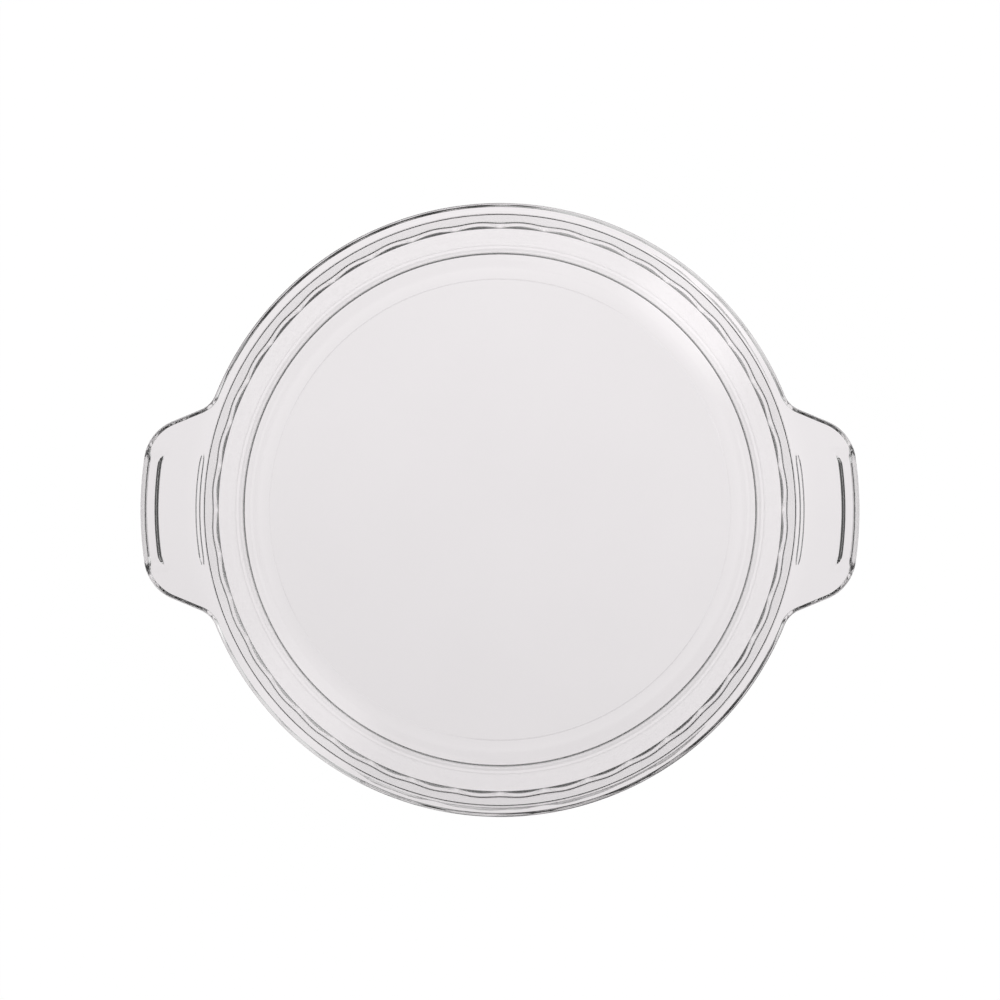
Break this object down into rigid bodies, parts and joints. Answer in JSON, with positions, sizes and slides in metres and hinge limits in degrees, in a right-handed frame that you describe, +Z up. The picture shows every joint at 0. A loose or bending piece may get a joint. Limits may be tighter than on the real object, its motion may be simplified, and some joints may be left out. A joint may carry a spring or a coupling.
{
  "type": "pie dish",
  "caption": "Round deep pie dish of clear pressed glass, with a fluted band inside its mouth, a flat rim and a tab handle on each side.",
  "frame": {"origin": "middle of the foot, on the surface that the dish stands on", "axes": "+Z up out of the dish's mouth, +X through the right handle, +Y towards the rear rim"},
  "size_m": [0.3046, 0.2602, 0.0445],
  "materials": {
    "glass": "clear, glossy, fire polished"
  },
  "bodies": {
    "root": {"base": "glass", "foot_ring": "glass", "heel": "glass", "side_wall": "glass", "fluted_band": "glass", "front_rim": "glass", "rear_rim": "glass", "left_handle": "glass", "right_handle": "glass", "left_grip_lip": "glass", "right_grip_lip": "glass", "left_root_lug": "glass", "right_root_lug": "glass"}
  },
  "joints": []
}
